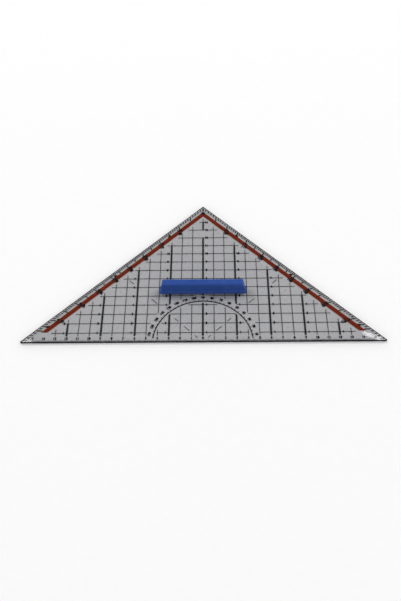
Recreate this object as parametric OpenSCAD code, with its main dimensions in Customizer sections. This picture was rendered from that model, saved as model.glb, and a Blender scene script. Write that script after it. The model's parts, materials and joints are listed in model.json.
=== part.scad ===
// Set square for pattern drawing: a clear triangular plate with scales printed on its underside
// and a moulded grip that plugs into two holes of the plate.
// The zero mark of the long edge, on the printed underside, is the origin.
// +X runs along the long edge, +Y to the right-angled corner and +Z up out of the plate.

/* [Plate] */
// Length of the long edge, from tip to tip
long_edge = 320; // [260:5:400]
// Thickness of the clear plate
plate_t = 2.5; // [2:0.1:4]
// Radius that takes the sharpness off the three corners
tip_r = 0.3; // [0.2:0.1:2]

/* [Ink nubs] */
// Height of a nub, which keeps the edges clear of wet ink
nub_h = 0.4; // [0.3:0.1:1]
// Diameter of a nub where it leaves the plate
nub_d = 1.5; // [1:0.1:3]
// Diameter of the flat foot of a nub
nub_foot_d = 1; // [0.6:0.1:2.5]
// Distance of the lowest row of nubs from the long edge
nub_row_y = 15; // [12:1:18]
// Places of the inner nubs of that row, along the long edge
nub_row_xs = [25, 75]; // [15:10:95]
// Distance of the outermost nub of that row from the tip of the plate
nub_tip_gap = 45; // [40:1:60]
// Distance of the nubs near a leg from that leg, along an upright line
nub_leg_gap = 20; // [16:1:30]
// Places of the nubs near a leg, along the long edge
nub_leg_xs = [15, 55]; // [15:10:65]
// How far the innermost nub sits below the middle of the leg
nub_inner_gap = 25; // [20:1:30]

/* [Grip] */
// Length of the grip at its flange
grip_len = 79; // [70:1:110]
// Width of the grip at its flange
grip_w = 7.6; // [6:0.1:9]
// Height of the grip above the plate
grip_h = 13.3; // [10:0.1:16]
// Distance of the middle of the grip from the long edge
grip_y = 54.9; // [54.5:0.1:70]
// Height of the flange that sits on the plate
flange_h = 1.8; // [1.2:0.1:2.4]
// How far the flange stands out past the top of the grip, on each side
flange_ledge = 0.3; // [0.1:0.1:0.5]
// Radius of the flange corners, seen from above
flange_r = 1; // [0.5:0.1:2]
// Height of the waist, where the grip is narrowest, above the plate
waist_h = 3.6; // [3:0.1:5]
// Depth of the finger hollow in each side, measured from the top of the grip
hollow_depth = 0.6; // [0.3:0.1:0.8]
// How far the flange stands out past each end of the grip
end_ledge = 0.6; // [0.2:0.1:1.2]
// How far each end leans in between the flange and the top
end_lean = 2.5; // [1.5:0.1:5]
// Radius along the edges of the top
grip_edge_r = 0.8; // [0.3:0.1:1.2]
// Wall thickness of the sides and the top
grip_wall = 1.2; // [1:0.1:1.4]
// Wall thickness of the ends
end_wall = 1.8; // [1.5:0.1:3]
// Thickness of a stiffening rib inside the grip
rib_t = 1.2; // [0.8:0.1:2]
// Number of stiffening ribs inside the grip
rib_count = 5; // [2:1:8]
// How far the ribs stay clear of the plate
rib_recess = 0.6; // [0.3:0.1:2]

/* [Pegs] */
// Distance between the two pegs under the grip
peg_pitch = 50; // [40:1:56]
// Diameter of a peg
peg_d = 4; // [3.4:0.1:4.4]
// Gap all round between a peg and its hole
peg_clearance = 0.05; // [0.02:0.01:0.1]
// Width of the slit that lets a peg spring
peg_slit = 0.8; // [0.4:0.1:1.5]
// How far the slit reaches up into the boss above the plate
slit_rise = 3; // [1:0.5:4]
// Height of the lead-in cone at the tip of a peg
peg_lead = 0.5; // [0.2:0.1:1]
// Wall thickness of the boss that carries a peg
boss_wall = 1; // [0.6:0.1:1.5]

/* [Printed lines] */
// Thickness of the printed film
ink_t = 0.05; // [0.03:0.01:0.1]
// Bare strip between the print and the edges of the plate
print_edge = 0.1; // [0.05:0.05:0.4]
// Width of a millimetre tick and of the protractor's ticks
tick_w = 0.4; // [0.15:0.05:0.5]
// Width of a thin line
thin_w = 0.5; // [0.2:0.05:0.7]
// Width of a bold line
bold_w = 1.6; // [0.8:0.1:2]
// Bare rim round a peg hole
hole_rim = 0.5; // [0.2:0.1:1.5]

/* [Long edge scale] */
// Length of a millimetre tick
mm_tick = 2.2; // [1.5:0.1:3]
// Length of the tick at every fifth millimetre
five_mm_tick = 2.6; // [2:0.1:3.5]
// Least bare stretch of the long edge between the scale and each tip
scale_end = 8; // [6:1:14]

/* [Degree scale] */
// Width of a degree tick
degree_w = 0.7; // [0.3:0.05:0.9]
// Depth of a one degree tick, square to the leg
degree_tick = 1.8; // [1.2:0.1:1.8]
// Depth of the tick at every fifth degree, square to the leg
five_degree_tick = 4.1; // [3:0.1:4.2]
// Depth of the base of an angle pointer, square to the leg
pointer_base = 4.2; // [3.4:0.1:4.3]
// Depth of the tip of an angle pointer, square to the leg
pointer_tip = 1.9; // [1.9:0.1:2.8]
// Width of an angle pointer at its base
pointer_w = 3.6; // [1.5:0.1:4]

/* [Angle band] */
// Depth of the middle of the coloured band, square to the leg
band_depth = 6.4; // [6.3:0.1:7]
// Width of the coloured band
band_w = 4; // [2:0.1:4.2]
// Distance of the lower ends of the band from the long edge
band_low = 11; // [8:1:20]

/* [Protractor arc] */
// Radius of the arc, to the middle of its line
arc_r = 44; // [43:0.5:46]
// Width of the arc's line
arc_w = 0.9; // [0.3:0.1:1.2]
// Distance of the arc's ends from the long edge
arc_low = 4; // [3.5:0.5:6]
// Length of the ticks outside the arc
arc_tick = 1.5; // [1:0.1:2]

/* [Centimetre grid] */
// Distance of the lower ends of the upright lines from the long edge
grid_low = 6.7; // [6:0.1:9]
// Bare strip between the thin lines and the legs, along an upright line
thin_margin = 16; // [14:1:24]
// Bare strip between the bold lines and the legs, along an upright line
bold_margin = 20; // [16:1:30]
// Every how many centimetres an upright line is bold
bold_every = 3; // [2:1:5]
// Width of the bare ring inside the protractor arc
ring_inside = 2; // [1:0.5:5]
// Width of the bare ring outside the protractor arc, which holds the arc's numbers
ring_outside = 6.5; // [5:0.5:9]
// Width of the bare place in the uprights, below the right-angled corner
bare_w = 18; // [10:1:24]
// How many rows of the grid below the right-angled corner the bare place ends
bare_row = 4; // [4:1:6]

/* [Diagonal dashes] */
// Distance of each dash from the grid crossing before it, along the long edge
dash_starts = [4.7, 1.8, 1.8, 1.5, 4]; // [1:0.1:5]
// Length of each dash, along the long edge
dash_lengths = [2.3, 4.8, 3.2, 5.3, 4]; // [1:0.1:6]
// Least distance from the leg to the crossing before the outermost dash, along the long edge
leg_dash_gap = 15; // [14:0.5:20]

/* [Hidden] */
$fn = 48;
large_fn = 360;
cm = 10;
half = long_edge / 2;
// Nubs sit in the middle of a cell of the grid
nub_places = concat(
    [for (x = concat(nub_row_xs, cell_middle(half - nub_tip_gap))) [x, nub_row_y]],
    [for (x = nub_leg_xs) [x, cell_middle(half - x - nub_leg_gap)]],
    [[cell_middle(half / 2 - cm / 2), cell_middle(half / 2 - nub_inner_gap)]]
);
hole_d = peg_d + 2 * peg_clearance;
boss_d = peg_d + 2 * boss_wall;
top_w = grip_w - 2 * flange_ledge;
waist_w = top_w - 2 * hollow_depth;
core_w = waist_w - 2 * grip_wall;
core_h = grip_h - grip_wall;
core_len = grip_len - 2 * (end_ledge + end_wall);
// The finger hollow curves up from the waist to the rounded top, and more tightly down to the flange
hollow_r = arc_radius(grip_h - grip_edge_r - waist_h, hollow_depth);
waist_r = arc_radius(waist_h - flange_h, hollow_depth + flange_ledge);
scale_reach = floor((half - scale_end) / cm) * cm;
pointer_angles = [7, 42, 75];
band_outer = half - sqrt(2) * (band_depth - band_w / 2);
band_inner = half - sqrt(2) * (band_depth + band_w / 2);
thin_reach = half - thin_margin;
bold_reach = half - bold_margin;
last_column = floor((thin_reach - cm) / cm);
last_row = floor(thin_reach / cm);
ring_in_r = arc_r - ring_inside;
ring_out_r = arc_r + ring_outside;
// Grid crossing before each dash: three inside the protractor arc, one outside it and one near the leg
dash_crossings = [
    0, 1, 2, ceil(ring_out_r / sqrt(2) / cm), floor((half / 2 - leg_dash_gap) / cm)
];
// Cutting tools reach this far past the faces they cut
overshoot = 1;
clear_colour = [0.80, 0.82, 0.84, 0.45];
grip_colour = [0.17, 0.28, 0.55];
black_ink = [0.07, 0.07, 0.08];
orange_ink = [0.72, 0.25, 0.07];

function unit(v) = v / norm(v);

// Radius of an arc that starts upright and bends away by a depth over a rise
function arc_radius(rise, depth) = (pow(rise, 2) + pow(depth, 2)) / (2 * depth);

// Middle of the centimetre that holds a length
function cell_middle(length) = (floor(length / cm) + 0.5) * cm;

// Distance from the zero mark, along the ray at an angle, to a depth square to the leg
function ray(angle, depth) = (half - sqrt(2) * depth) / (abs(cos(angle)) + sin(angle));

// Depth of a degree tick: long at every fifth degree, unless a pointer marks that angle
function degree_depth(angle) =
    angle % 5 == 0 && len(search(min(angle, 180 - angle), pointer_angles)) == 0
        ? five_degree_tick
        : degree_tick;

module mirrored() {
    children();
    mirror([1, 0, 0])
        children();
}

module at_pegs() {
    for (side = [-1, 1])
        translate([side * peg_pitch / 2, grip_y])
            children();
}

// Film of ink under the plate
module printed() {
    translate([0, 0, -ink_t])
        linear_extrude(ink_t)
            children();
}

// Convex outline with a true arc at each corner that has a radius
module rounded_outline(corners, radii) {
    count = len(corners);
    round_corners = [for (i = [0 : count - 1]) if (radii[i] > 0) i];
    function side_after(i) = unit(corners[(i + 1) % count] - corners[i]);
    function side_before(i) = unit(corners[(i + count - 1) % count] - corners[i]);
    function bisector(i) = unit(side_after(i) + side_before(i));
    function half_angle(i) = acos(side_after(i) * bisector(i));
    function centre(i) = corners[i] + bisector(i) * radii[i] / sin(half_angle(i));
    function reach(i) = radii[i] / tan(half_angle(i));
    difference() {
        polygon(corners);
        for (i = round_corners)
            polygon([
                corners[i] - bisector(i) * radii[i],
                corners[i] + side_after(i) * reach(i),
                centre(i),
                corners[i] + side_before(i) * reach(i)
            ]);
    }
    for (i = round_corners)
        translate(centre(i))
            circle(radii[i]);
}

module plate() {
    color(clear_colour) {
        linear_extrude(plate_t)
            difference() {
                rounded_outline([[-half, 0], [half, 0], [0, half]], [tip_r, tip_r, tip_r]);
                at_pegs()
                    circle(d = hole_d);
            }
        mirrored()
            for (place = nub_places)
                translate([place[0], place[1], -nub_h])
                    cylinder(h = nub_h, d1 = nub_foot_d, d2 = nub_d);
    }
}

// Outside of the grip, looking across it: a flange, and ends that lean in to a rounded top
module grip_lengthwise() {
    foot = grip_len / 2 - end_ledge;
    top = foot - end_lean;
    translate([-grip_len / 2, 0])
        square([grip_len, flange_h]);
    rounded_outline(
        [[-foot, 0], [foot, 0], [foot, flange_h], [top, grip_h], [-top, grip_h], [-foot, flange_h]],
        [0, 0, 0, grip_edge_r, grip_edge_r, 0]
    );
}

// Outside of the grip, looking along it: a flange, a finger hollow in each side and a rounded top
module grip_crosswise() {
    difference() {
        translate([-grip_w / 2, 0])
            square([grip_w, waist_h]);
        mirrored()
            translate([waist_w / 2 + waist_r, waist_h])
                circle(waist_r);
    }
    difference() {
        rounded_outline(
            [[-top_w / 2, waist_h], [top_w / 2, waist_h], [top_w / 2, grip_h], [-top_w / 2, grip_h]],
            [0, 0, grip_edge_r, grip_edge_r]
        );
        mirrored()
            translate([waist_w / 2 + hollow_r, waist_h])
                circle(hollow_r, $fn = large_fn);
    }
}

// Hollow inside the grip, looking across it
module core_lengthwise() {
    foot = core_len / 2;
    top = foot - end_lean;
    polygon([[-foot, -overshoot], [foot, -overshoot], [top, core_h], [-top, core_h]]);
}

// Hollow inside the grip, looking along it
module core_crosswise() {
    translate([-core_w / 2, -overshoot])
        square([core_w, overshoot + core_h]);
}

// What two side views have in common: the first looks along the grip's width, the second along its length
module from_two_views() {
    intersection() {
        rotate([90, 0, 0])
            linear_extrude(grip_w + overshoot, center = true)
                children(0);
        rotate([90, 0, 90])
            linear_extrude(grip_len + overshoot, center = true)
                children(1);
    }
}

module grip_outside() {
    x = grip_len / 2;
    y = grip_w / 2;
    intersection() {
        from_two_views() {
            grip_lengthwise();
            grip_crosswise();
        }
        linear_extrude(grip_h + overshoot)
            rounded_outline([[-x, -y], [x, -y], [x, y], [-x, y]], [for (i = [1 : 4]) flange_r]);
    }
}

// Stiffening ribs across the hollow, evenly spread along it
module ribs() {
    for (i = [1 : rib_count])
        translate([i * core_len / (rib_count + 1) - core_len / 2 - rib_t / 2, -grip_w / 2, rib_recess])
            cube([rib_t, grip_w, grip_h]);
}

module grip_shell() {
    difference() {
        grip_outside();
        difference() {
            from_two_views() {
                core_lengthwise();
                core_crosswise();
            }
            ribs();
            for (side = [-1, 1])
                translate([side * peg_pitch / 2, 0, 0])
                    cylinder(h = grip_h, d = boss_d);
        }
    }
}

// Peg that goes through the plate and ends level with its underside
module peg() {
    cylinder(h = peg_lead, d1 = peg_d - peg_lead, d2 = peg_d);
    translate([0, 0, peg_lead])
        cylinder(h = plate_t - peg_lead, d = peg_d);
}

// Slit across a peg, which goes on between the walls of the grip
module slit() {
    translate([-peg_slit / 2, -boss_d / 2, -overshoot])
        cube([peg_slit, boss_d, overshoot + plate_t]);
    translate([-peg_slit / 2, -core_w / 2, -overshoot])
        cube([peg_slit, core_w, overshoot + plate_t + slit_rise]);
}

module grip() {
    color(grip_colour)
        difference() {
            union() {
                translate([0, grip_y, plate_t])
                    grip_shell();
                at_pegs()
                    peg();
            }
            at_pegs()
                slit();
        }
}

module long_edge_scale() {
    color(black_ink)
        printed()
            for (x = [-scale_reach : scale_reach])
                translate([x - tick_w / 2, print_edge])
                    square([tick_w, (x % 5 == 0 ? five_mm_tick : mm_tick) - print_edge]);
}

// Ticks that point at the zero mark, cut off along the legs
module degree_scale() {
    reach = half - sqrt(2) * print_edge;
    color(black_ink)
        printed()
            intersection() {
                polygon([[-reach, 0], [reach, 0], [0, reach]]);
                for (angle = [1 : 179]) {
                    inner = ray(angle, degree_depth(angle));
                    rotate(angle)
                        translate([inner, -degree_w / 2])
                            square([ray(angle, -degree_w) - inner, degree_w]);
                }
            }
}

module angle_pointers() {
    along_leg = [-1, 1] / sqrt(2);
    color(black_ink)
        printed()
            mirrored()
                for (angle = pointer_angles) {
                    direction = [cos(angle), sin(angle)];
                    base = ray(angle, pointer_base) * direction;
                    polygon([
                        base - along_leg * pointer_w / 2,
                        ray(angle, pointer_tip) * direction,
                        base + along_leg * pointer_w / 2
                    ]);
                }
}

module angle_band() {
    color(orange_ink)
        printed()
            polygon([
                [band_outer - band_low, band_low], [0, band_outer], [band_low - band_outer, band_low],
                [band_low - band_inner, band_low], [0, band_inner], [band_inner - band_low, band_low]
            ]);
}

module protractor_arc() {
    color(black_ink)
        printed() {
            difference() {
                circle(arc_r + arc_w / 2, $fn = large_fn);
                circle(arc_r - arc_w / 2, $fn = large_fn);
                translate([-half, arc_low - long_edge])
                    square(long_edge);
            }
            for (angle = [10 : 5 : 170])
                rotate(angle)
                    translate([arc_r, -tick_w / 2])
                        square([arc_tick, tick_w]);
        }
}

module upright_line(x, reach, width) {
    translate([x - width / 2, grid_low])
        square([width, reach - abs(x) - grid_low]);
}

module centimetre_grid() {
    color(black_ink)
        printed()
            difference() {
                union() {
                    difference() {
                        for (column = [-last_column : last_column]) {
                            upright_line(column * cm, thin_reach, thin_w);
                            if (column % bold_every == 0)
                                upright_line(column * cm, bold_reach, bold_w);
                        }
                        translate([-bare_w / 2, (floor(half / cm) - bare_row) * cm])
                            square([bare_w, cm]);
                    }
                    for (row = [1 : last_row])
                        translate([row * cm - thin_reach, row * cm - thin_w / 2])
                            square([2 * (thin_reach - row * cm), thin_w]);
                }
                difference() {
                    circle(ring_out_r, $fn = large_fn);
                    circle(ring_in_r, $fn = large_fn);
                }
                at_pegs()
                    circle(d = hole_d + 2 * hole_rim);
            }
}

module diagonal_dashes() {
    color(black_ink)
        printed()
            mirrored()
                rotate(45)
                    for (i = [0 : len(dash_crossings) - 1])
                        translate([sqrt(2) * (dash_crossings[i] * cm + dash_starts[i]), -thin_w / 2])
                            square([sqrt(2) * dash_lengths[i], thin_w]);
}

plate();
grip();
long_edge_scale();
degree_scale();
angle_pointers();
angle_band();
protractor_arc();
centimetre_grid();
diagonal_dashes();
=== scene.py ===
"""Looks of a clear drawing set square with a pull-off grip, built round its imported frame."""

import json
import logging
import math
from collections.abc import Iterator
from dataclasses import dataclass, field
from enum import Enum
from typing import Any

import bmesh
import bpy
from mathutils import Matrix, Vector


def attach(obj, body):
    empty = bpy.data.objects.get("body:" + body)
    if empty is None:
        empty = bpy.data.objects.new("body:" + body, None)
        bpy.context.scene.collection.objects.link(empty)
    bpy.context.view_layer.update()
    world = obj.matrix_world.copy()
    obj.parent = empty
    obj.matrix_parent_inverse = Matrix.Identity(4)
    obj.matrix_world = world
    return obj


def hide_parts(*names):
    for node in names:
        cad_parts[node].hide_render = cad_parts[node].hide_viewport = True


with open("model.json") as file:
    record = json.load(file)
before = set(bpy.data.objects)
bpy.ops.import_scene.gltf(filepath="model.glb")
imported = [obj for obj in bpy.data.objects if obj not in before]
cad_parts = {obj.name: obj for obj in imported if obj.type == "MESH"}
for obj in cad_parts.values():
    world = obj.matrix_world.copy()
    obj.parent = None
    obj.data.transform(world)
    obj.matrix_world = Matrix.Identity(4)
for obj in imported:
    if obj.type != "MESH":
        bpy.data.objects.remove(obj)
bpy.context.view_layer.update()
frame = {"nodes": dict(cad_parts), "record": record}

MM = 0.001
# Corners that are nearer to each other than this are one corner.
SAME_PLACE = 0.001 * MM
# Faces that turn less than this against each other are one flat face.
FLAT_TURN = math.radians(0.5)
# Most of a noise lies between these two values.
NOISE_LOW, NOISE_HIGH = 0.3, 0.7
log = logging.getLogger("set_square")


class Body(Enum):
    """Bodies of the frame that pieces ride on."""

    SQUARE = "square"
    GRIP = "grip"


class Slot(Enum):
    """Material slots of the record."""

    CLEAR_PLATE = "clear_plate"
    BLUE_GRIP = "blue_grip"
    BLACK_INK = "black_ink"
    ORANGE_INK = "orange_ink"


def linear(hex_colour: str) -> tuple[float, float, float, float]:
    """Turn an sRGB colour into linear light.

    Args:
        hex_colour: Colour written as "#rrggbb".

    Returns:
        Linear red, green and blue, and an alpha of 1.
    """
    values = [int(hex_colour[i : i + 2], 16) / 255 for i in (1, 3, 5)]
    red, green, blue = (
        v / 12.92 if v <= 0.04045 else ((v + 0.055) / 1.055) ** 2.4 for v in values
    )
    return red, green, blue, 1.0


def add_node(
    tree: bpy.types.NodeTree,
    kind: str,
    inputs: dict[str | int, Any] | None = None,
    **settings: Any,
) -> bpy.types.Node:
    """Add a node with its settings, constants and links.

    Args:
        tree: Tree that gets the node.
        kind: Blender's name of the node type.
        inputs: For each input, by name or place, the constant or the output that feeds it.
        **settings: Properties of the node.

    Returns:
        The new node.
    """
    node = tree.nodes.new(kind)
    for name, value in settings.items():
        setattr(node, name, value)
    for name, value in (inputs or {}).items():
        if isinstance(value, bpy.types.NodeSocket):
            tree.links.new(value, node.inputs[name])
        else:
            node.inputs[name].default_value = value
    return node


def per_metre(size_mm: float) -> float:
    """Give the noise scale at which one feature of a pattern is that many millimetres wide."""
    return 1 / (size_mm * MM)


@dataclass(frozen=True)
class Finish:
    """A surface finish, whose material is made once and shared."""

    name: str

    def material(self) -> bpy.types.Material:
        """Give the material of this finish.

        Returns:
            The material, made at the first call.
        """
        made = bpy.data.materials.get(self.name)
        if made is None:
            made = bpy.data.materials.new(self.name)
            made.use_nodes = True
            made.node_tree.nodes.clear()
            self.wire(made.node_tree)
        return made

    def wire(self, tree: bpy.types.NodeTree) -> None:
        """Build the nodes of the material in an empty tree."""
        raise NotImplementedError

    def noise(
        self, tree: bpy.types.NodeTree, size_mm: float, detail: float = 2.0
    ) -> bpy.types.NodeSocket:
        """Add noise in the piece's own coordinates.

        Args:
            tree: Tree that gets the noise.
            size_mm: Width of one feature.
            detail: Number of finer layers.

        Returns:
            The noise value, from 0 to 1.
        """
        place = add_node(tree, "ShaderNodeTexCoord").outputs["Object"]
        inputs = {"Vector": place, "Scale": per_metre(size_mm), "Detail": detail}
        return add_node(tree, "ShaderNodeTexNoise", inputs).outputs["Fac"]

    def pattern(
        self,
        tree: bpy.types.NodeTree,
        size_mm: float,
        low: float,
        high: float,
        detail: float = 2.0,
    ) -> bpy.types.NodeSocket:
        """Add a pattern of noise that runs from one value to another.

        Args:
            tree: Tree that gets the pattern.
            size_mm: Width of one feature.
            low: Result at the low end of the noise.
            high: Result at the high end of the noise.
            detail: Number of finer layers.

        Returns:
            The value of the pattern.
        """
        inputs = {
            "Value": self.noise(tree, size_mm, detail),
            "From Min": NOISE_LOW,
            "From Max": NOISE_HIGH,
            "To Min": low,
            "To Max": high,
        }
        return add_node(tree, "ShaderNodeMapRange", inputs).outputs["Result"]


@dataclass(frozen=True)
class ClearAcrylic(Finish):
    """Acrylic, injection moulded in a polished tool.

    The eye sees a mirror-smooth clear sheet with a cool grey cast. Handling leaves a faint haze,
    and the tool a slight waviness.
    """

    name: str = "clear_moulded_acrylic"
    ior: float = 1.49
    cast: str = "#bbbbbf"
    cast_per_metre: float = 200.0
    face_loss: str = "#f9f9f9"
    smooth: float = 0.015
    hazed: float = 0.05
    haze_mm: float = 22.0
    haze_detail: float = 4.0
    wave_mm: float = 35.0
    wave_height: float = 0.02 * MM
    wave_strength: float = 0.3

    def wire(self, tree: bpy.types.NodeTree) -> None:
        """Build clear acrylic that lets lamps and scattered light through to what is under it."""
        haze = self.pattern(tree, self.haze_mm, self.smooth, self.hazed, self.haze_detail)
        wave = self.noise(tree, self.wave_mm, 0.0)
        bump = add_node(
            tree,
            "ShaderNodeBump",
            {"Strength": self.wave_strength, "Distance": self.wave_height, "Height": wave},
        )
        acrylic = add_node(
            tree,
            "ShaderNodeBsdfPrincipled",
            {
                "Base Color": linear("#ffffff"),
                "Roughness": haze,
                "IOR": self.ior,
                "Transmission Weight": 1.0,
                "Normal": bump.outputs["Normal"],
            },
        )
        through = add_node(tree, "ShaderNodeBsdfTransparent", {"Color": linear(self.face_loss)})
        path = add_node(tree, "ShaderNodeLightPath")
        for scattered in ("Is Diffuse Ray", "Is Shadow Ray"):
            acrylic = add_node(
                tree,
                "ShaderNodeMixShader",
                {0: path.outputs[scattered], 1: acrylic.outputs[0], 2: through.outputs[0]},
            )
        cast = add_node(
            tree,
            "ShaderNodeVolumeAbsorption",
            {"Color": linear(self.cast), "Density": self.cast_per_metre},
        )
        add_node(
            tree,
            "ShaderNodeOutputMaterial",
            {"Surface": acrylic.outputs[0], "Volume": cast.outputs[0]},
        )


@dataclass(frozen=True)
class Mottled(Finish):
    """A matt finish whose colour and roughness change together in fine spots.

    Attributes:
        full: Colour of the denser spots.
        thin: Colour of the thinner spots.
        spot_mm: Width of one spot.
        detail: Number of finer layers in the spots.
        rough: Roughness of the denser spots.
        rough_range: How much rougher the thinner spots are.
        ior: Index of refraction.
        sheen: Share of the mirrored light that is left.
    """

    full: str
    thin: str
    spot_mm: float = 0.5
    detail: float = 2.0
    rough: float = 0.5
    rough_range: float = 0.15
    ior: float = 1.5
    sheen: float = 0.05

    def wire(self, tree: bpy.types.NodeTree) -> None:
        """Build the mottled surface."""
        spots = self.pattern(tree, self.spot_mm, 0.0, 1.0, self.detail)
        roughest = self.rough + self.rough_range
        colour = add_node(
            tree,
            "ShaderNodeMix",
            {0: spots, 6: linear(self.full), 7: linear(self.thin)},
            data_type="RGBA",
        )
        surface = add_node(
            tree,
            "ShaderNodeBsdfPrincipled",
            {
                "Base Color": colour.outputs[2],
                "Roughness": self.pattern(tree, self.spot_mm, self.rough, roughest, self.detail),
                "IOR": self.ior,
                "Specular IOR Level": self.sheen,
            },
        )
        add_node(tree, "ShaderNodeOutputMaterial", {"Surface": surface.outputs[0]})


@dataclass(frozen=True)
class EdgePaintedShade(Mottled):
    """Acrylic edge, drawn as an opaque, nearly black matt surface: painted shade.

    It stands for the dark look of the clear sheet's cut edges, so the eye sees a narrow band
    that is nearly black, with a dull sheen and faint marks.
    """

    name: str = "acrylic_edge_painted_shade"
    # Nearly black colours of the edge: painted shade, not the clear sheet's own colour.
    full: str = "#0e0e10"
    thin: str = "#1b1b1e"
    spot_mm: float = 0.6
    detail: float = 3.0
    ior: float = 1.49


@dataclass(frozen=True)
class ScreenInk(Mottled):
    """Solvent ink, screen printed on the back of the acrylic.

    The eye sees a dense matt colour with a faint mottle from the mesh of the screen. The mottle of
    a real screen is a tenth of a millimetre, and is drawn five times as coarse so that it shows.
    """

    name: str = "black_screen_ink"
    full: str = "#111113"
    thin: str = "#1c1c1f"
    rough: float = 0.55
    sheen: float = 0.02


@dataclass(frozen=True)
class SatinStyrene(Finish):
    """Polystyrene, moulded in a tool with a fine spark-eroded grain.

    The eye sees one deep blue with a soft, even sheen, broken up by a grain that is finer than a
    third of a millimetre, and slightly paler clouds where the melt flowed together.
    """

    name: str = "blue_moulded_styrene"
    deep: str = "#2a4a92"
    pale: str = "#32529c"
    cloud_mm: float = 9.0
    cloud_detail: float = 3.0
    grain_mm: float = 0.3
    grain_detail: float = 1.0
    grain_height: float = 0.02 * MM
    grain_strength: float = 0.5
    satin: float = 0.36
    dull: float = 0.46
    ior: float = 1.59
    sheen: float = 0.1

    def wire(self, tree: bpy.types.NodeTree) -> None:
        """Build the satin blue of the grip."""
        clouds = self.pattern(tree, self.cloud_mm, 0.0, 1.0, self.cloud_detail)
        grain = self.noise(tree, self.grain_mm, self.grain_detail)
        dulling = self.pattern(tree, self.grain_mm, self.satin, self.dull, self.grain_detail)
        colour = add_node(
            tree,
            "ShaderNodeMix",
            {0: clouds, 6: linear(self.deep), 7: linear(self.pale)},
            data_type="RGBA",
        )
        bump = add_node(
            tree,
            "ShaderNodeBump",
            {"Strength": self.grain_strength, "Distance": self.grain_height, "Height": grain},
        )
        plastic = add_node(
            tree,
            "ShaderNodeBsdfPrincipled",
            {
                "Base Color": colour.outputs[2],
                "Roughness": dulling,
                "IOR": self.ior,
                "Specular IOR Level": self.sheen,
                "Normal": bump.outputs["Normal"],
            },
        )
        add_node(tree, "ShaderNodeOutputMaterial", {"Surface": plastic.outputs[0]})


@dataclass(frozen=True)
class StudioPaper(Finish):
    """White background paper: matt, with a faint fibre tone."""

    name: str = "white_background_paper"
    light: str = "#ffffff"
    fibre: str = "#fcfcfc"
    fibre_mm: float = 6.0

    def wire(self, tree: bpy.types.NodeTree) -> None:
        """Build the matt paper."""
        fibres = self.noise(tree, self.fibre_mm, 3.0)
        colour = add_node(
            tree,
            "ShaderNodeMix",
            {0: fibres, 6: linear(self.light), 7: linear(self.fibre)},
            data_type="RGBA",
        )
        paper = add_node(tree, "ShaderNodeBsdfDiffuse", {"Color": colour.outputs[2]})
        add_node(tree, "ShaderNodeOutputMaterial", {"Surface": paper.outputs[0]})


def put_in_scene(name: str, mesh: bpy.types.Mesh) -> bpy.types.Object:
    """Make an object of a mesh and link it to the scene.

    Args:
        name: Name of the object and its mesh.
        mesh: The mesh, in the frame's coordinates.

    Returns:
        The object, at the origin.
    """
    mesh.name = name
    made = bpy.data.objects.new(name, mesh)
    bpy.context.scene.collection.objects.link(made)
    return made


def as_plain_mesh(source: bpy.types.Object) -> bpy.types.Object:
    """Turn an object with modifiers into a plain mesh of the same name.

    Args:
        source: The object, which is removed.

    Returns:
        A new object with the evaluated mesh.
    """
    name = source.name
    evaluated = source.evaluated_get(bpy.context.evaluated_depsgraph_get())
    mesh = bpy.data.meshes.new_from_object(evaluated)
    bpy.data.objects.remove(source)
    return put_in_scene(name, mesh)


def merged_copy(node: str) -> bmesh.types.BMesh:
    """Take a copy of a CAD node's mesh, with its corners joined and its flat faces whole.

    Args:
        node: Name of the CAD node.

    Returns:
        The copy, for the caller to change and free.
    """
    work = bmesh.new()
    work.from_mesh(frame["nodes"][node].data)
    bmesh.ops.remove_doubles(work, verts=work.verts, dist=SAME_PLACE)
    bmesh.ops.dissolve_limit(work, angle_limit=FLAT_TURN, verts=work.verts, edges=work.edges)
    return work


@dataclass
class Plate:
    """Clear plate, whose moulded edges are softened and whose underside leaves room for the print.

    Attributes:
        arris: Width of the softened edges.
        arris_steps: Number of steps across them.
        print_gap: How far the underside stays above the films of ink, so that no faces coincide.
        sharp: Edges that turn more than this are softened.
        edge_tilt: Faces of the rim that lean less than this from upright get the nearly black edge,
            which is painted shade.
    """

    arris: float = 0.15 * MM
    arris_steps: int = 2
    print_gap: float = 0.02 * MM
    sharp: float = math.radians(75)
    edge_tilt: float = math.radians(20)
    finish: ClearAcrylic = field(default_factory=ClearAcrylic)
    # The edge material is painted shade: an opaque, nearly black band on the rim.
    edge_painted_shade: EdgePaintedShade = field(default_factory=EdgePaintedShade)

    def build(self) -> bpy.types.Object:
        """Build the plate and let it stand for its CAD node.

        Returns:
            The plate.
        """
        work = merged_copy("plate")
        for corner in work.verts:
            if abs(corner.co.z) < SAME_PLACE:
                corner.co.z = self.print_gap
        edges = [e for e in work.edges if e.is_manifold and e.calc_face_angle() > self.sharp]
        bmesh.ops.bevel(
            work,
            geom=edges,
            offset=self.arris,
            offset_type="OFFSET",
            segments=self.arris_steps,
            profile=0.5,
            affect="EDGES",
            clamp_overlap=False,
        )
        # Upright faces of the rim get the nearly black edge material, which is painted shade.
        for face in work.faces:
            face.material_index = int(abs(face.normal.z) < math.sin(self.edge_tilt))
        mesh = bpy.data.meshes.new("plate")
        work.to_mesh(mesh)
        work.free()
        mesh.materials.append(self.finish.material())
        mesh.materials.append(self.edge_painted_shade.material())
        plate = put_in_scene("plate_polished", mesh)
        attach(plate, Body.SQUARE.value)
        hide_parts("plate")
        return plate


@dataclass(frozen=True)
class Level:
    """The grip's outline at one height.

    Attributes:
        height: Height above the plate.
        half_length: Reach along the grip from its middle.
        half_width: Reach across the grip from its middle.
        corner_r: Radius of the four corners.
    """

    height: float
    half_length: float
    half_width: float
    corner_r: float


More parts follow.
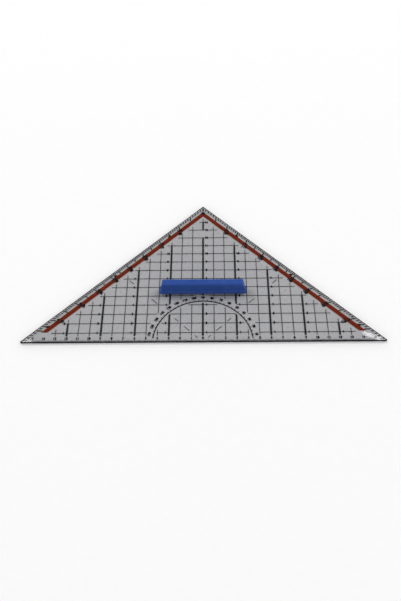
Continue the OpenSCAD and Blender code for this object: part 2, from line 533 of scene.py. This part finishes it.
@dataclass
class Grip:
    """Hollow moulded grip, with soft edges that the mould gives it.

    Attributes:
        length: Length at the flange.
        width: Width at the flange.
        height: Height above the plate.
        middle_y: Distance of its middle from the long edge.
        foot: Height of the plate's top, on which it sits.
        flange_h: Height of the flange.
        side_ledge: How far the flange stands out past the top, on each side.
        waist_h: Height of the narrowest place.
        hollow_depth: Depth of the finger hollow, measured from the top.
        end_ledge: How far the flange stands out past each end.
        end_lean: How far each end leans in above the flange.
        mould_r: Radius along the edges of the top in the CAD solid.
        top_r: Fuller radius that the worn mould gives those edges.
        hip_r: Radius along the corners above the flange.
        flange_r: Radius of the flange's corners.
        arris: Radius along the flange's upper edge.
        hair: How far the soft outside lies past the CAD solid where it takes nothing off.
        seat_gap: How far the seat stays above the plate, so that no faces coincide.
        peg_room: How far the soft outside reaches below the plate, past the pegs.
        crease: Edges that turn more than this stay sharp in the shading.
        arc_steps: Number of steps along an arc.
    """

    length: float = 79 * MM
    width: float = 7.6 * MM
    height: float = 13.3 * MM
    middle_y: float = 54.9 * MM
    foot: float = 2.5 * MM
    flange_h: float = 1.8 * MM
    side_ledge: float = 0.3 * MM
    waist_h: float = 3.6 * MM
    hollow_depth: float = 0.6 * MM
    end_ledge: float = 0.6 * MM
    end_lean: float = 2.5 * MM
    mould_r: float = 0.8 * MM
    top_r: float = 1.6 * MM
    hip_r: float = 0.6 * MM
    flange_r: float = 1.0 * MM
    arris: float = 0.2 * MM
    hair: float = 0.02 * MM
    seat_gap: float = 0.01 * MM
    peg_room: float = 1 * MM
    crease: float = math.radians(30)
    arc_steps: int = 8
    finish: SatinStyrene = field(default_factory=SatinStyrene)

    def end_reach(self, height: float) -> float:
        """Give the reach of the leaning ends at a height above the flange."""
        lean = self.end_lean * (height - self.flange_h) / (self.height - self.flange_h)
        return self.length / 2 - self.end_ledge - lean

    def side_reach(self, height: float) -> float:
        """Give the reach of the hollowed sides at a height between the flange and the rounded top.

        Args:
            height: Height above the plate.

        Returns:
            The reach, on the arc that runs up from the waist or the one that runs down from it.
        """
        waist = self.width / 2 - self.side_ledge - self.hollow_depth
        if height < self.waist_h:
            rise = self.waist_h - self.flange_h
            depth = self.hollow_depth + self.side_ledge
        else:
            rise = self.height - self.mould_r - self.waist_h
            depth = self.hollow_depth
        radius = (rise**2 + depth**2) / (2 * depth)
        return waist + radius - math.sqrt(radius**2 - (height - self.waist_h) ** 2)

    def levels(self) -> Iterator[Level]:
        """Follow the outside of the grip from below the plate to the top.

        Yields:
            The outline at each height.
        """
        half_length = self.length / 2
        half_width = self.width / 2
        yield Level(-self.foot - self.peg_room, half_length, half_width, self.flange_r)
        for i in range(self.arc_steps + 1):
            turn = math.pi / 2 * i / self.arc_steps
            inset = self.arris * (1 - math.cos(turn))
            height = self.flange_h - self.arris * (1 - math.sin(turn))
            yield Level(height, half_length - inset, half_width - inset, self.flange_r - inset)
        shoulder = self.height - self.top_r
        for low, high in ((self.flange_h, self.waist_h), (self.waist_h, shoulder)):
            for i in range(self.arc_steps):
                height = low + (high - low) * i / self.arc_steps
                yield Level(height, self.end_reach(height), self.side_reach(height), self.hip_r)
        for i in range(self.arc_steps + 1):
            turn = math.pi / 2 * i / self.arc_steps
            height = shoulder + self.top_r * math.sin(turn)
            inset = self.top_r * (1 - math.cos(turn))
            half_width = self.side_reach(shoulder) - inset
            yield Level(height, self.end_reach(height) - inset, half_width, self.hip_r)

    def outline(self, level: Level) -> Iterator[tuple[float, float]]:
        """Walk round a rectangle with round corners.

        Args:
            level: Its reach and the radius of its corners.

        Yields:
            Each point, measured from the middle of the grip.
        """
        radius = level.corner_r
        reach_x = level.half_length + self.hair - radius
        reach_y = level.half_width + self.hair - radius
        for quarter, (side_x, side_y) in enumerate(((1, 1), (-1, 1), (-1, -1), (1, -1))):
            for i in range(self.arc_steps + 1):
                turn = math.pi / 2 * (quarter + i / self.arc_steps)
                yield (
                    side_x * reach_x + radius * math.cos(turn),
                    side_y * reach_y + radius * math.sin(turn),
                )

    def blank(self) -> bpy.types.Object:
        """Build the outside of the grip as a closed solid with soft edges.

        Returns:
            The blank, a hair larger than the CAD solid on its flat sides.
        """
        work = bmesh.new()
        rings = [
            [
                work.verts.new((x, self.middle_y + y, self.foot + level.height + self.hair))
                for x, y in self.outline(level)
            ]
            for level in self.levels()
        ]
        count = len(rings[0])
        for low, high in zip(rings, rings[1:]):
            for i in range(count):
                j = (i + 1) % count
                work.faces.new((low[i], low[j], high[j], high[i]))
        work.faces.new(reversed(rings[0]))
        work.faces.new(rings[-1])
        mesh = bpy.data.meshes.new("grip_blank")
        work.to_mesh(mesh)
        work.free()
        return put_in_scene("grip_blank", mesh)

    def build(self) -> bpy.types.Object:
        """Cut the CAD grip to the soft outside and let it stand for its CAD node.

        Returns:
            The grip.
        """
        work = merged_copy("grip")
        for corner in work.verts:
            if abs(corner.co.z - self.foot) < SAME_PLACE:
                corner.co.z += self.seat_gap
        mesh = bpy.data.meshes.new("grip_moulding")
        work.to_mesh(mesh)
        work.free()
        rough = put_in_scene("grip_moulding", mesh)
        blank = self.blank()
        cut = rough.modifiers.new("soft_edges", "BOOLEAN")
        cut.operation = "INTERSECT"
        cut.solver = "EXACT"
        cut.object = blank
        grip = as_plain_mesh(rough)
        bpy.data.objects.remove(blank)
        grip.data.shade_smooth()
        grip.data.set_sharp_from_angle(angle=self.crease)
        even = grip.modifiers.new("even_shading", "WEIGHTED_NORMAL")
        even.keep_sharp = True
        grip = as_plain_mesh(grip)
        grip.data.materials.clear()
        grip.data.materials.append(self.finish.material())
        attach(grip, Body.GRIP.value)
        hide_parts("grip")
        return grip


@dataclass(frozen=True)
class Label:
    """A printed number.

    Attributes:
        number: The number that is read.
        x: Place of its middle along the long edge.
        y: Distance of its middle from the long edge.
        turn: Angle that it is turned by, anticlockwise.
    """

    number: int
    x: float
    y: float
    turn: float = 0.0


class NumberPrinter:
    """Geometry Nodes tree that prints a number as a film of ink at each point of a mesh.

    Attributes:
        CURVE_STEPS: Number of steps along each curve of the type.
        SPACING: How far apart the digits are set, before they are narrowed.
        NARROWING: Width of the digits, as a share of the plain type's.
        POINT_GAP: Points of a bold outline that are nearer than this are joined.
        SEAM_GAP: Points of the film's sides and faces that are nearer than this are joined.
    """

    NUMBER = "number"
    TURN = "turn"
    DIGIT = "digit"
    SIZE_INPUT = "Letter size"
    BOLD_INPUT = "Boldness"
    FILM_INPUT = "Film thickness"
    INK_INPUT = "Ink"
    CURVE_STEPS = 4
    SPACING = 1.22
    NARROWING = 0.78
    POINT_GAP = 0.015 * MM
    SEAM_GAP = 0.0005 * MM

    def __init__(self) -> None:
        """Build the tree."""
        self.tree = bpy.data.node_groups.new("number_printer", "GeometryNodeTree")
        face = self.tree.interface
        face.new_socket("Places", in_out="INPUT", socket_type="NodeSocketGeometry")
        for name in (self.SIZE_INPUT, self.BOLD_INPUT, self.FILM_INPUT):
            face.new_socket(name, in_out="INPUT", socket_type="NodeSocketFloat")
        face.new_socket(self.INK_INPUT, in_out="INPUT", socket_type="NodeSocketMaterial")
        face.new_socket("Print", in_out="OUTPUT", socket_type="NodeSocketGeometry")
        self.wire()

    def wire(self) -> None:
        """Build a loop over the points, which sets each number, fills it and gives it thickness."""
        tree = self.tree
        given = add_node(tree, "NodeGroupInput").outputs
        end = add_node(tree, "GeometryNodeForeachGeometryElementOutput", domain="POINT")
        start = add_node(tree, "GeometryNodeForeachGeometryElementInput")
        start.pair_with_output(end)
        fields = {"Number": ("INT", self.NUMBER), "Turn": ("FLOAT", self.TURN)}
        for name, (kind, attribute) in fields.items():
            end.input_items.new(kind, name)
            stored = add_node(
                tree, "GeometryNodeInputNamedAttribute", {"Name": attribute}, data_type=kind
            )
            tree.links.new(stored.outputs["Attribute"], start.inputs[name])
        end.input_items.new("VECTOR", "Place")
        tree.links.new(
            add_node(tree, "GeometryNodeInputPosition").outputs[0], start.inputs["Place"]
        )
        tree.links.new(given["Places"], start.inputs["Geometry"])
        number = start.outputs
        digits = add_node(
            tree, "FunctionNodeValueToString", {0: number["Number"]}, data_type="INT"
        )
        curves = add_node(
            tree,
            "GeometryNodeStringToCurves",
            {
                "String": digits.outputs[0],
                "Size": given[self.SIZE_INPUT],
                "Character Spacing": self.SPACING,
            },
            align_x="CENTER",
            align_y="MIDDLE",
        )
        narrow = add_node(
            tree,
            "GeometryNodeTransform",
            {"Geometry": curves.outputs["Curve Instances"], "Scale": (self.NARROWING, 1.0, 1.0)},
        )
        faces = self.bold_faces(narrow.outputs[0], given[self.BOLD_INPUT])
        raised = add_node(
            tree,
            "GeometryNodeExtrudeMesh",
            {"Mesh": faces, "Offset Scale": given[self.FILM_INPUT], "Individual": False},
        )
        back = add_node(tree, "GeometryNodeFlipFaces", {"Mesh": faces})
        both = add_node(tree, "GeometryNodeJoinGeometry", {0: raised.outputs["Mesh"]})
        tree.links.new(back.outputs[0], both.inputs[0])
        angle = add_node(tree, "ShaderNodeCombineXYZ", {"Z": number["Turn"]})
        placed = add_node(
            tree,
            "GeometryNodeTransform",
            {
                "Geometry": both.outputs[0],
                "Translation": number["Place"],
                "Rotation": angle.outputs[0],
            },
        )
        tree.links.new(placed.outputs[0], end.inputs["Geometry"])
        printed = end.outputs[2]
        real = add_node(tree, "GeometryNodeRealizeInstances", {"Geometry": printed})
        closed = add_node(
            tree,
            "GeometryNodeMergeByDistance",
            {"Geometry": real.outputs[0], "Distance": self.SEAM_GAP},
        )
        inked = add_node(
            tree,
            "GeometryNodeSetMaterial",
            {"Geometry": closed.outputs[0], "Material": given[self.INK_INPUT]},
        )
        add_node(tree, "NodeGroupOutput", {"Print": inked.outputs[0]})

    def bold_faces(
        self, outlines: bpy.types.NodeSocket, boldness: bpy.types.NodeSocket
    ) -> bpy.types.NodeSocket:
        """Move the outlines of the type outwards and fill each digit by itself.

        Args:
            outlines: Outlines of the digits.
            boldness: How far they move.

        Returns:
            The filled digits.
        """
        tree = self.tree
        counted = add_node(
            tree,
            "GeometryNodeStoreNamedAttribute",
            {
                "Geometry": outlines,
                "Name": self.DIGIT,
                "Value": add_node(tree, "GeometryNodeInputIndex").outputs[0],
            },
            data_type="INT",
            domain="INSTANCE",
        )
        real = add_node(tree, "GeometryNodeRealizeInstances", {"Geometry": counted.outputs[0]})
        coarse = add_node(
            tree,
            "GeometryNodeSetSplineResolution",
            {"Geometry": real.outputs[0], "Resolution": self.CURVE_STEPS},
        )
        points = add_node(
            tree, "GeometryNodeResampleCurve", {"Curve": coarse.outputs[0]}, mode="EVALUATED"
        )
        outwards = add_node(
            tree,
            "ShaderNodeVectorMath",
            {0: add_node(tree, "GeometryNodeInputTangent").outputs[0], 1: (0.0, 0.0, 1.0)},
            operation="CROSS_PRODUCT",
        )
        offset = add_node(
            tree,
            "ShaderNodeVectorMath",
            {0: outwards.outputs["Vector"], "Scale": boldness},
            operation="SCALE",
        )
        moved = add_node(
            tree,
            "GeometryNodeSetPosition",
            {"Geometry": points.outputs[0], "Offset": offset.outputs["Vector"]},
        )
        digit = add_node(
            tree, "GeometryNodeInputNamedAttribute", {"Name": self.DIGIT}, data_type="INT"
        )
        filled = add_node(
            tree,
            "GeometryNodeFillCurve",
            {"Curve": moved.outputs[0], "Group ID": digit.outputs["Attribute"]},
        )
        joined = add_node(
            tree,
            "GeometryNodeMergeByDistance",
            {"Geometry": filled.outputs[0], "Distance": self.POINT_GAP},
        )
        return joined.outputs[0]

    def run(
        self,
        name: str,
        labels: list[Label],
        letter_size: float,
        boldness: float,
        bottom: float,
        film: float,
        ink: bpy.types.Material,
    ) -> bpy.types.Object:
        """Print a set of numbers.

        Args:
            name: Name of the piece.
            labels: The numbers.
            letter_size: Size of the type.
            boldness: How far the outlines of the type are moved outwards.
            bottom: Height of the film's underside.
            film: Thickness of the film.
            ink: Material of the film.

        Returns:
            The numbers as one plain mesh.
        """
        mesh = bpy.data.meshes.new(name)
        mesh.from_pydata([(label.x, label.y, bottom) for label in labels], [], [])
        numbers = mesh.attributes.new(self.NUMBER, "INT", "POINT")
        numbers.data.foreach_set("value", [label.number for label in labels])
        turns = mesh.attributes.new(self.TURN, "FLOAT", "POINT")
        turns.data.foreach_set("value", [label.turn for label in labels])
        points = put_in_scene(name, mesh)
        printer = points.modifiers.new("numbers", "NODES")
        printer.node_group = self.tree
        values = {
            self.SIZE_INPUT: letter_size,
            self.BOLD_INPUT: boldness,
            self.FILM_INPUT: film,
            self.INK_INPUT: ink,
        }
        for socket in self.tree.interface.items_tree:
            if socket.in_out == "INPUT" and socket.name in values:
                printer[socket.identifier] = values[socket.name]
        return as_plain_mesh(points)


@dataclass
class Print:
    """Scales and numbers on the underside of the plate, read from above.

    Attributes:
        half: Distance from the zero mark to each tip and to the right-angled corner.
        weight: How far the outlines of the type are moved outwards, as a share of its size.
        film: Thickness of the numbers' film.
        bottom: Height of its underside, just above the lines, so that no faces coincide.
        cm: Side of a cell of the grid.
        last_cm: Last number at each end of the long edge.
        edge_y: Distance of those numbers from the long edge.
        edge_size: Size of their type.
        last_rows: Last row that has a number, by the column of its bold upright.
        row_gap: Distance of those numbers from their upright.
        row_size: Size of their type.
        tens: Angles that have a number.
        arc_r: Distance from the zero mark to the numbers round the protractor arc.
        arc_size: Size of their type.
        ring_in_r: Inner radius of the ring round the arc that has no row numbers.
        ring_out_r: Outer radius of that ring.
        outer_depth: Depth inside the leg of the numbers on the band.
        inner_depth: Depth inside the leg of the numbers beside the band.
        leg_size: Size of the type of both.
        widenings: How far the small marks are drawn past their CAD outlines, by CAD node.
        thin_node: CAD node whose fine lines took less ink.
        upright: A face whose normal rises less than this is a side of a mark.
        along: A side whose normal agrees with the leg's by more than this lies along the leg.
    """

    half: float = 160 * MM
    weight: float = 0.088
    film: float = 0.012 * MM
    bottom: float = 0.004 * MM
    cm: float = 10 * MM
    last_cm: int = 15
    edge_y: float = 4.2 * MM
    edge_size: float = 3.2 * MM
    last_rows: dict[int, int] = field(
        default_factory=lambda: {0: 14, 3: 10, 6: 7, 9: 4, 12: 2}
    )
    row_gap: float = 3.2 * MM
    row_size: float = 3.2 * MM
    tens: range = range(10, 180, 10)
    arc_r: float = 47.8 * MM
    arc_size: float = 3.2 * MM
    ring_in_r: float = 42 * MM
    ring_out_r: float = 50.5 * MM
    outer_depth: float = 5.9 * MM
    inner_depth: float = 8.9 * MM
    leg_size: float = 3.85 * MM
    widenings: dict[str, float] = field(
        default_factory=lambda: {"degree_scale": 0.1 * MM, "angle_pointers": 0.1 * MM}
    )
    thin_node: str = "centimetre_grid"
    upright: float = 0.5
    along: float = 0.999
    black: ScreenInk = field(default_factory=ScreenInk)
    orange: ScreenInk = field(
        default_factory=lambda: ScreenInk("orange_screen_ink", "#992e00", "#a63605")
    )
    thin_black: ScreenInk = field(
        default_factory=lambda: ScreenInk("thin_black_screen_ink", "#38383b", "#414144")
    )

    def dress_lines(self) -> None:
        """Give the printed lines that stay as CAD made them their ink."""
        inks = {Slot.BLACK_INK.value: self.black, Slot.ORANGE_INK.value: self.orange}
        for part in frame["record"]["subparts"]:
            node = part["node"]
            ink = self.thin_black if node == self.thin_node else inks.get(part["material_slot"])
            if ink is not None and node not in self.widenings:
                mesh = frame["nodes"][node].data
                mesh.materials.clear()
                mesh.materials.append(ink.material())
                log.info("inked %s", node)

    def widen_marks(self, node: str, widening: float) -> bpy.types.Object:
        """Draw small marks wider than their CAD outlines, but not past the legs.

        Args:
            node: CAD node of the marks.
            widening: How far they are widened.

        Returns:
            The marks, which stand for their CAD node.
        """
        work = merged_copy(node)
        moves = {}
        for corner in work.verts:
            sides = [f.normal for f in corner.link_faces if abs(f.normal.z) < self.upright]
            first, second = sides[0], sides[-1]
            at_leg = Vector((math.copysign(1, corner.co.x), 1, 0)).normalized()
            shift_first, shift_second = (
                0.0 if side.dot(at_leg) > self.along else widening for side in (first, second)
            )
            # The corner moves to where its two sides meet again after they have moved out.
            area = first.x * second.y - first.y * second.x
            moves[corner] = Vector(
                (
                    (shift_first * second.y - shift_second * first.y) / area,
                    (shift_second * first.x - shift_first * second.x) / area,
                    0,
                )
            )
        for corner, move in moves.items():
            corner.co += move
        mesh = bpy.data.meshes.new(node)
        work.to_mesh(mesh)
        work.free()
        mesh.materials.append(self.black.material())
        marks = put_in_scene(f"{node}_spread", mesh)
        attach(marks, Body.SQUARE.value)
        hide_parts(node)
        return marks

    def edge_labels(self) -> list[Label]:
        """List the centimetres along the long edge, counted both ways from the zero mark."""
        counts = range(-self.last_cm, self.last_cm + 1)
        return [Label(abs(count), count * self.cm, self.edge_y) for count in counts]

    def row_labels(self) -> list[Label]:
        """List the centimetres up the bold uprights.

        Returns:
            A number outside each bold upright on every row that it crosses.
        """
        labels = []
        for column, last in self.last_rows.items():
            for side in (-1, 1) if column else (1,):
                x = side * (column * self.cm + self.row_gap)
                for row in range(1, last + 1):
                    y = row * self.cm
                    if not self.ring_in_r < math.hypot(x, y) < self.ring_out_r:
                        labels.append(Label(row, x, y))
        return labels

    def arc_labels(self) -> list[Label]:
        """List the tens of degrees outside the protractor arc."""
        return [self.on_ray(angle, angle, self.arc_r) for angle in self.tens]

    def leg_labels(self) -> list[Label]:
        """List the tens of degrees along the legs.

        Returns:
            Each angle on the band, and inside it the angle counted from the other end.
        """
        labels = []
        for angle in self.tens:
            outer = self.leg_distance(angle, self.outer_depth)
            labels.append(self.on_ray(angle, angle, outer))
            if angle != 90:
                inner = self.leg_distance(angle, self.inner_depth)
                labels.append(self.on_ray(180 - angle, angle, inner))
        return labels

    def leg_distance(self, angle: float, depth: float) -> float:
        """Measure from the zero mark, along a ray, to a depth inside the leg.

        Args:
            angle: Angle of the ray, in degrees.
            depth: Depth square to the leg.

        Returns:
            The distance along the ray.
        """
        turn = math.radians(angle)
        return (self.half - math.sqrt(2) * depth) / (abs(math.cos(turn)) + math.sin(turn))

    def on_ray(self, number: int, angle: float, distance: float) -> Label:
        """Set a number across a ray from the zero mark.

        Args:
            number: The number.
            angle: Angle of the ray, in degrees.
            distance: Distance along the ray.

        Returns:
            The label, with its foot towards the zero mark.
        """
        turn = math.radians(angle)
        return Label(
            number, distance * math.cos(turn), distance * math.sin(turn), turn - math.pi / 2
        )

    def build(self) -> list[bpy.types.Object]:
        """Ink the lines and print the numbers.

        Returns:
            The widened marks and the sets of numbers.
        """
        self.dress_lines()
        printer = NumberPrinter()
        sets = {
            "numbers_long_edge": (self.edge_labels(), self.edge_size),
            "numbers_rows": (self.row_labels(), self.row_size),
            "numbers_protractor": (self.arc_labels(), self.arc_size),
            "numbers_legs": (self.leg_labels(), self.leg_size),
        }
        pieces = [self.widen_marks(node, widening) for node, widening in self.widenings.items()]
        for name, (labels, size) in sets.items():
            piece = printer.run(
                name,
                labels,
                size,
                self.weight * size,
                self.bottom,
                self.film,
                self.black.material(),
            )
            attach(piece, Body.SQUARE.value)
            pieces.append(piece)
        return pieces


@dataclass(frozen=True)
class SoftBox:
    """A soft light that faces straight down.

    Attributes:
        name: Name of the lamp.
        place: Its middle.
        size: Its width and depth.
        radiance: How bright its face is, where 1 is white.
        turn: Angle that it is turned by on the ceiling, anticlockwise.
    """

    name: str
    place: tuple[float, float, float]
    size: tuple[float, float]
    radiance: float
    turn: float = 0.0

    def build(self) -> None:
        """Hang the lamp."""
        lamp = bpy.data.lights.new(self.name, "AREA")
        lamp.shape = "RECTANGLE"
        lamp.size, lamp.size_y = self.size
        lamp.energy = self.radiance * math.pi * self.size[0] * self.size[1]
        box = bpy.data.objects.new(self.name, lamp)
        box.matrix_world = Matrix.Translation(Vector(self.place)) @ Matrix.Rotation(
            self.turn, 4, "Z"
        )
        bpy.context.scene.collection.objects.link(box)


@dataclass
class Studio:
    """White paper, two large soft boxes at the sides, a pale surround and the camera.

    Attributes:
        floor_z: Height of the paper, under the nubs.
        floor_size: Side of the paper.
        low_glow: Brightness of the surround near the floor.
        high_glow: Brightness of the surround overhead, which the plate mirrors towards the camera.
        glow_from: Height above the horizon at which the surround starts to dim.
        glow_to: Height above the horizon from which it is dim.
        camera_place: Where the camera stands.
        camera_target: Point in the middle of the picture.
        camera_roll: Tilt of the picture, anticlockwise.
        lens_mm: Focal length.
        long_side_mm: Long side of the picture that the lens throws.
        boxes: The large boxes, and two small lights that the plate's tips mirror.
    """

    floor_z: float = -0.4 * MM
    floor_size: float = 24.0
    low_glow: float = 1.3
    high_glow: float = 0.12
    glow_from: float = math.radians(20)
    glow_to: float = math.radians(40)
    camera_place: tuple[float, float, float] = (7.95 * MM, -331.12 * MM, 516.1 * MM)
    camera_target: tuple[float, float, float] = (-2.23 * MM, 45.32 * MM, 0.0)
    camera_roll: float = math.radians(-1.66)
    lens_mm: float = 42.08
    long_side_mm: float = 36.0
    boxes: tuple[SoftBox, ...] = (
        SoftBox("right_box", (4.8, 2.4, 6.4), (3.6, 5.2), 5.7),
        SoftBox("left_box", (-4.8, 2.4, 6.4), (3.6, 5.2), 5.7),
        SoftBox("right_tip_light", (1.02, 2.09, 3.2), (0.13, 0.022), 7.0, math.radians(-25)),
        SoftBox("left_tip_light", (-1.15, 2.07, 3.2), (0.06, 0.03), 5.0),
    )
    paper: StudioPaper = field(default_factory=StudioPaper)

    def lay_floor(self) -> None:
        """Lay the paper under the square."""
        reach = self.floor_size / 2
        corners = [(-reach, -reach), (reach, -reach), (reach, reach), (-reach, reach)]
        mesh = bpy.data.meshes.new("paper")
        mesh.from_pydata([(x, y, self.floor_z) for x, y in corners], [], [(0, 1, 2, 3)])
        mesh.materials.append(self.paper.material())
        put_in_scene("paper", mesh)

    def light(self) -> None:
        """Hang the lights, and make a surround that is pale near the floor and dim overhead."""
        for box in self.boxes:
            box.build()
        world = bpy.data.worlds.new("studio")
        bpy.context.scene.world = world
        world.use_nodes = True
        tree = world.node_tree
        tree.nodes.clear()
        direction = add_node(tree, "ShaderNodeTexCoord").outputs["Generated"]
        height = add_node(tree, "ShaderNodeSeparateXYZ", {0: direction}).outputs["Z"]
        strength = add_node(
            tree,
            "ShaderNodeMapRange",
            {
                "Value": height,
                "From Min": math.sin(self.glow_from),
                "From Max": math.sin(self.glow_to),
                "To Min": self.low_glow,
                "To Max": self.high_glow,
            },
            interpolation_type="SMOOTHSTEP",
        )
        glow = add_node(
            tree,
            "ShaderNodeBackground",
            {"Color": linear("#ffffff"), "Strength": strength.outputs["Result"]},
        )
        add_node(tree, "ShaderNodeOutputWorld", {"Surface": glow.outputs[0]})

    def place_camera(self) -> None:
        """Stand the camera where the photograph was taken from."""
        data = bpy.data.cameras.new("camera")
        data.lens = self.lens_mm
        data.sensor_width = self.long_side_mm
        camera = bpy.data.objects.new("camera", data)
        place = Vector(self.camera_place)
        back = place - Vector(self.camera_target)
        camera.matrix_world = (
            Matrix.Translation(place)
            @ back.to_track_quat("Z", "Y").to_matrix().to_4x4()
            @ Matrix.Rotation(self.camera_roll, 4, "Z")
        )
        bpy.context.scene.collection.objects.link(camera)
        bpy.context.scene.camera = camera

    def build(self) -> None:
        """Set up the whole studio."""
        self.lay_floor()
        self.light()
        self.place_camera()
        bpy.context.scene.view_settings.view_transform = "Standard"


def main() -> None:
    """Build the square and its studio, and report each piece."""
    logging.basicConfig(level=logging.INFO, format="%(name)s: %(message)s")
    Studio().build()
    pieces = [Plate().build(), Grip().build(), *Print().build()]
    for piece in pieces:
        log.info("built %s with %d faces", piece.name, len(piece.data.polygons))


if __name__ == "__main__":
    main()
